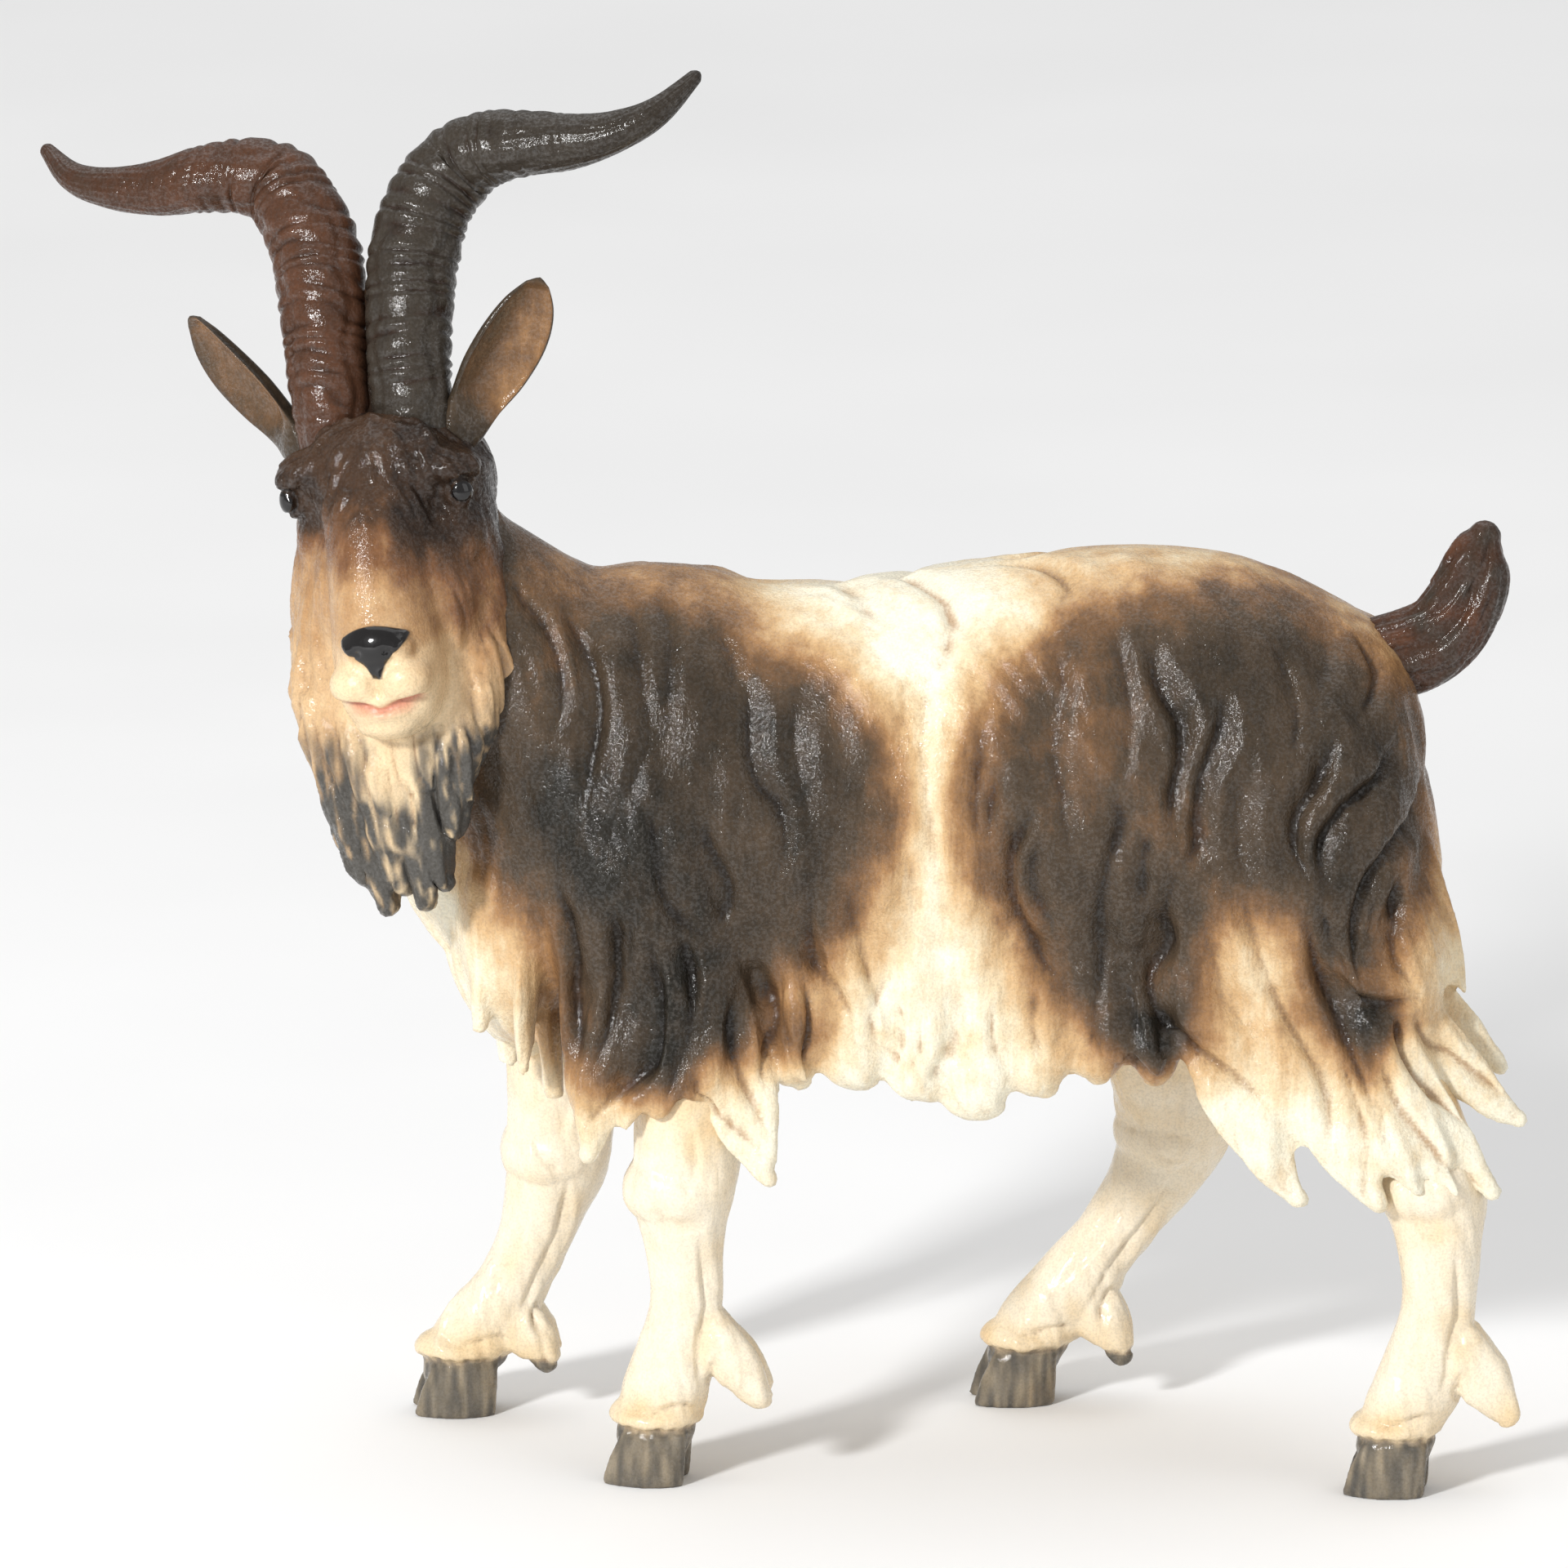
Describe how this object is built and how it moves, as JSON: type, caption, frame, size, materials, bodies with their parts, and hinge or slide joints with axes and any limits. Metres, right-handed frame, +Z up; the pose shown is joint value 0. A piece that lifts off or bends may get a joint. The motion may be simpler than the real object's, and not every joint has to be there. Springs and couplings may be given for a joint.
{
  "type": "billy goat figurine",
  "caption": "Standing long-haired billy goat with spread horns and a turned head, carved in wood and painted, for a crib or shelf scene.",
  "frame": {"origin": "centre of the bounding box in X and Y, at the plane the four hooves stand on", "axes": "+Z up; the goat's body runs along X and it walks towards -X; its left side, and its turned face, look towards -Y"},
  "size_m": [0.1182, 0.0356, 0.1131],
  "materials": {
    "coat": "oil-painted in brown and cream patches under a satin varnish",
    "face": "oil-painted, brown brow shading to a cream muzzle, satin varnish",
    "horn": "dark brown oil paint with a satin varnish",
    "ear": "brown oil paint, tan inside, satin varnish",
    "leg": "ivory oil paint with grey hooves, satin varnish",
    "beech": "bare turned beech, inside the glued joints"
  },
  "bodies": {
    "root": {"torso": "coat", "head": "face", "horn_left": "horn", "horn_right": "horn", "ear_left": "ear", "ear_right": "ear", "tail": "horn", "foreleg_left": "leg", "foreleg_right": "leg", "hindleg_left": "leg", "hindleg_right": "leg", "neck_dowel": "beech", "foreleg_left_dowel": "beech", "foreleg_right_dowel": "beech", "hindleg_left_dowel": "beech", "hindleg_right_dowel": "beech"}
  },
  "joints": []
}
